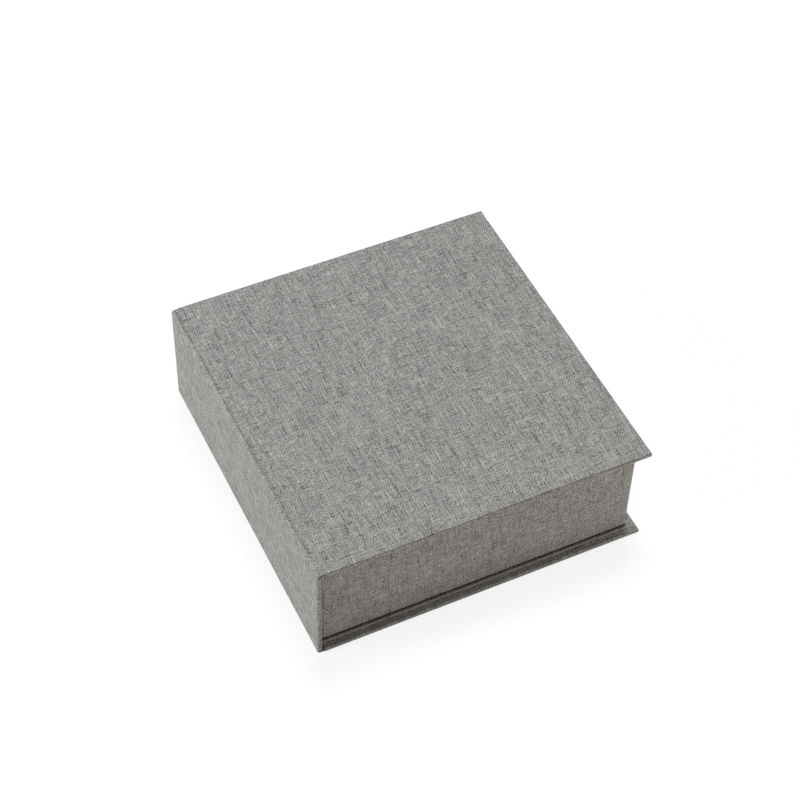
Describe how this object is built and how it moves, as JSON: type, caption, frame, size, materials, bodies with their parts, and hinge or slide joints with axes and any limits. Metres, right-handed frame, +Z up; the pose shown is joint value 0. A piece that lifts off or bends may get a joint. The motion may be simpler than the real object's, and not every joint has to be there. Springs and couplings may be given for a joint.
{
  "type": "book-style gift box",
  "caption": "Cloth-covered book-style gift box: lid and base boards hinged to a flat spine by the cloth, overhanging a recessed open tray that holds the contents.",
  "frame": {"origin": "on the table, under the middle of the closed box", "axes": "+X from the spine to the fore-edge, +Y to the rear, +Z up"},
  "size_m": [0.14, 0.145, 0.05],
  "materials": {
    "cover_cloth": "matte woven melange grey bookcloth",
    "tray_cloth": "matte woven melange grey bookcloth",
    "lining_cloth": "matte woven grey lining cloth",
    "lining_paper": "matte uncoated grey paper",
    "greyboard": "solid recycled greyboard, bare"
  },
  "bodies": {
    "base": {"base_board": "greyboard", "base_cover_cloth": "cover_cloth", "base_lining": "lining_cloth", "lower_joint_cloth": "cover_cloth", "lower_joint_lining": "lining_cloth", "tray_floor_board": "greyboard", "tray_front_wall": "greyboard", "tray_rear_wall": "greyboard", "tray_spine_wall": "greyboard", "tray_fore_edge_wall": "greyboard", "tray_outer_cloth": "tray_cloth", "tray_wall_lining": "lining_paper", "tray_floor_lining": "lining_paper"},
    "spine": {"spine_board": "greyboard", "spine_cover_cloth": "cover_cloth", "spine_lining": "lining_cloth", "upper_joint_cloth": "cover_cloth", "upper_joint_lining": "lining_cloth"},
    "lid": {"lid_board": "greyboard", "lid_cover_cloth": "cover_cloth", "lid_lining": "lining_cloth"}
  },
  "joints": [
    {"name": "spine_hinge", "type": "hinge", "parent": "base", "child": "spine", "pos_m": [-0.0697, 0, 0.0003], "axis": [0, -1, 0], "range_deg": [0, 90], "deforming": ["lower_joint_cloth", "lower_joint_lining"]},
    {"name": "lid_hinge", "type": "hinge", "parent": "spine", "child": "lid", "pos_m": [-0.0697, 0, 0.0497], "axis": [0, -1, 0], "range_deg": [0, 90], "deforming": ["upper_joint_cloth", "upper_joint_lining"]}
  ]
}
